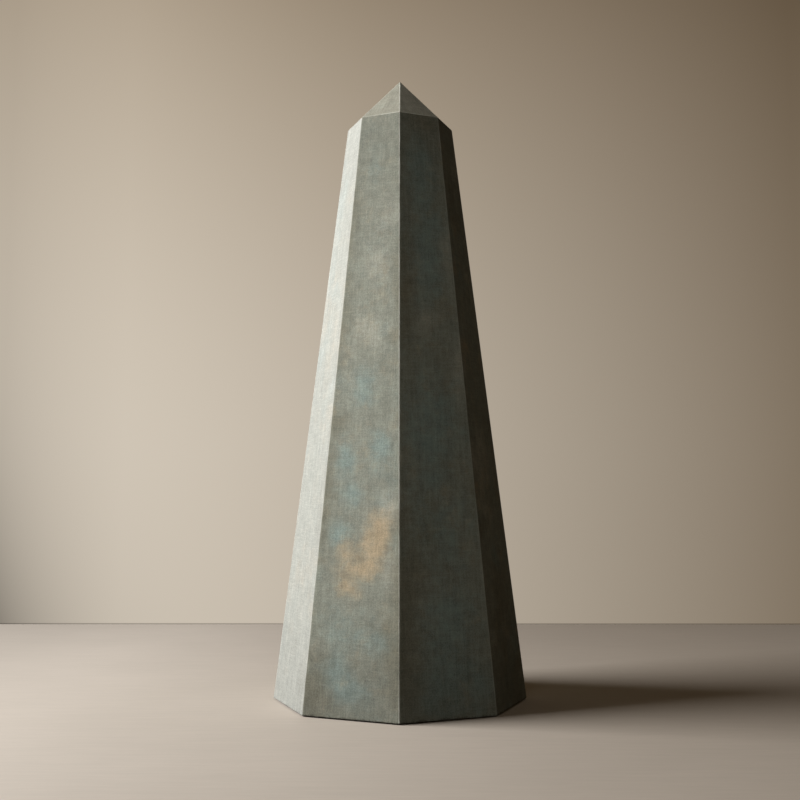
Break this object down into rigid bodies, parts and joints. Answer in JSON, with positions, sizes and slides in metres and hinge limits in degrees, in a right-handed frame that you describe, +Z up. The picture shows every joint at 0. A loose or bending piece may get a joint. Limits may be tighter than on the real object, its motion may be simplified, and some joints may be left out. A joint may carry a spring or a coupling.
{
  "type": "octagonal obelisk",
  "caption": "Tall tapering octagonal obelisk with a low pyramid cap, a hollow shell of mitred painted boards that stands on the floor as a landmark.",
  "frame": {"origin": "middle of the footprint, at floor level under the glides", "axes": "+Z up along the obelisk's axis to its apex, -Y towards the front, where one arris of the octagon points"},
  "size_m": [0.9514, 0.9514, 2.3999],
  "materials": {
    "shaft_paint": "matt grey-green patina paint over a fine scrim, clouded with blue-green and ochre",
    "cap_paint": "matt grey-green patina paint over a fine scrim",
    "base_plywood": "bare plywood, sanded",
    "glide_nylon": "moulded black nylon"
  },
  "bodies": {
    "root": {"shaft_board_front_left": "shaft_paint", "shaft_board_front_right": "shaft_paint", "shaft_board_right_front": "shaft_paint", "shaft_board_right_back": "shaft_paint", "shaft_board_back_right": "shaft_paint", "shaft_board_back_left": "shaft_paint", "shaft_board_left_back": "shaft_paint", "shaft_board_left_front": "shaft_paint", "cap_board_front_left": "cap_paint", "cap_board_front_right": "cap_paint", "cap_board_right_front": "cap_paint", "cap_board_right_back": "cap_paint", "cap_board_back_right": "cap_paint", "cap_board_back_left": "cap_paint", "cap_board_left_back": "cap_paint", "cap_board_left_front": "cap_paint", "base_board": "base_plywood", "glide_front": "glide_nylon", "glide_front_right": "glide_nylon", "glide_right": "glide_nylon", "glide_back_right": "glide_nylon", "glide_back": "glide_nylon", "glide_back_left": "glide_nylon", "glide_left": "glide_nylon", "glide_front_left": "glide_nylon"}
  },
  "joints": []
}
